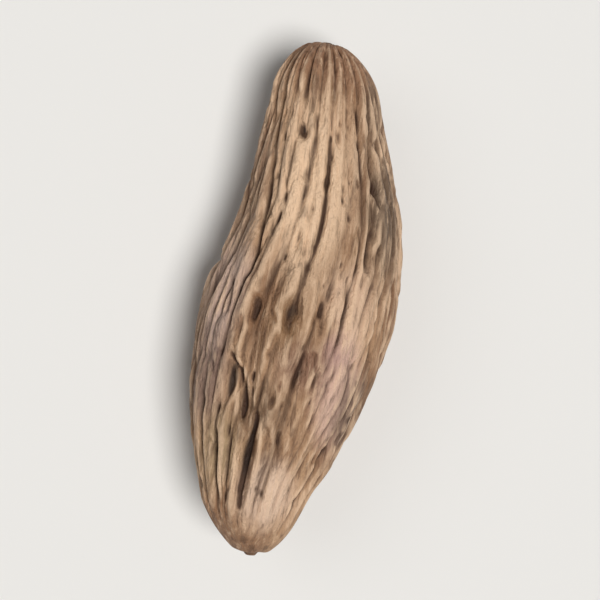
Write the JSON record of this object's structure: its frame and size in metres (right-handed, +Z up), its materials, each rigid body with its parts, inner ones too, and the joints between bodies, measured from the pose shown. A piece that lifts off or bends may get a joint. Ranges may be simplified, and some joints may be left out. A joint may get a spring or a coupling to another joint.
{
  "type": "dried dwarf lilyturf tuber",
  "caption": "Dried lilyturf tuber, a spindle drawn in at both ends and wrinkled lengthwise, for food, herb and tea scenes.",
  "frame": {"origin": "middle of the footprint, at the height of the flat spot that the tuber lies on", "axes": "+X along the tuber from its stalk end to its root end, +Z up, away from the surface that it lies on"},
  "size_m": [0.0198, 0.0078, 0.0069],
  "materials": {
    "tuber_skin": "matte, wrinkled, roasted brown skin with darker pits and furrows and a faint waxy sheen on its ridges"
  },
  "bodies": {
    "root": {"tuber": "tuber_skin"}
  },
  "joints": []
}
